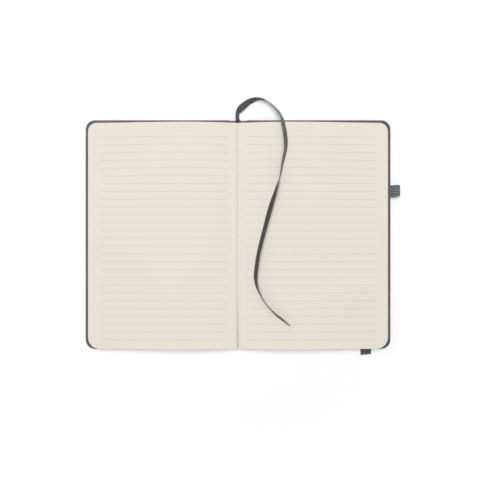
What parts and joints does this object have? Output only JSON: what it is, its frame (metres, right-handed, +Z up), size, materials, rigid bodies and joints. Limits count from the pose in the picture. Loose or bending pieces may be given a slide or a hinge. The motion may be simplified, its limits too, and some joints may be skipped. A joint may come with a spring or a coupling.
{
  "type": "hard-cover ruled notebook",
  "caption": "Open hard-cover notebook with rounded corners and ruled leaves, a ribbon marker, an elastic closure band and an elastic pen loop; both covers swing shut on the spine.",
  "frame": {"origin": "middle of the underside of the spine, with the book open and lying flat", "axes": "+X towards the fore-edge of the right-hand page, +Y towards the head of the book, +Z up from the table"},
  "size_m": [0.2892, 0.236, 0.0191],
  "materials": {
    "board": "rough grey board",
    "cover": "fine-grained matt coated wrap",
    "endpaper": "smooth uncoated paper",
    "paper": "smooth ivory paper",
    "ruling": "pale grey print",
    "loop_elastic": "ribbed woven elastic",
    "band_elastic": "woven elastic",
    "ribbon": "satin ribbon",
    "lining": "open gauze"
  },
  "bodies": {
    "back_cover": {"back_board": "board", "back_cover_skin": "cover", "back_endpaper": "endpaper", "right_leaves": "paper", "right_loose_leaves": "paper", "right_ruling": "ruling", "pen_loop": "loop_elastic", "closure_band": "band_elastic", "ribbon_marker": "ribbon"},
    "spine": {"spine_strip": "board", "spine_skin": "cover", "spine_lining": "lining", "gutter_leaves": "paper"},
    "front_cover": {"front_board": "board", "front_cover_skin": "cover", "front_endpaper": "endpaper", "left_leaves": "paper", "left_loose_leaves": "paper", "left_ruling": "ruling"}
  },
  "joints": [
    {"name": "spine_hinge", "type": "hinge", "parent": "back_cover", "child": "spine", "pos_m": [0.0075, 0, 0.0011], "axis": [0, 1, 0], "range_deg": [0, 90], "deforming": ["gutter_leaves", "ribbon_marker", "right_loose_leaves", "right_ruling"]},
    {"name": "front_cover_hinge", "type": "hinge", "parent": "spine", "child": "front_cover", "pos_m": [-0.0075, 0, 0.0011], "axis": [0, 1, 0], "range_deg": [0, 90], "deforming": ["left_loose_leaves", "left_ruling"]}
  ],
  "couplings": [
    {"joint": "front_cover_hinge", "follows": "spine_hinge", "ratio": 1}
  ]
}
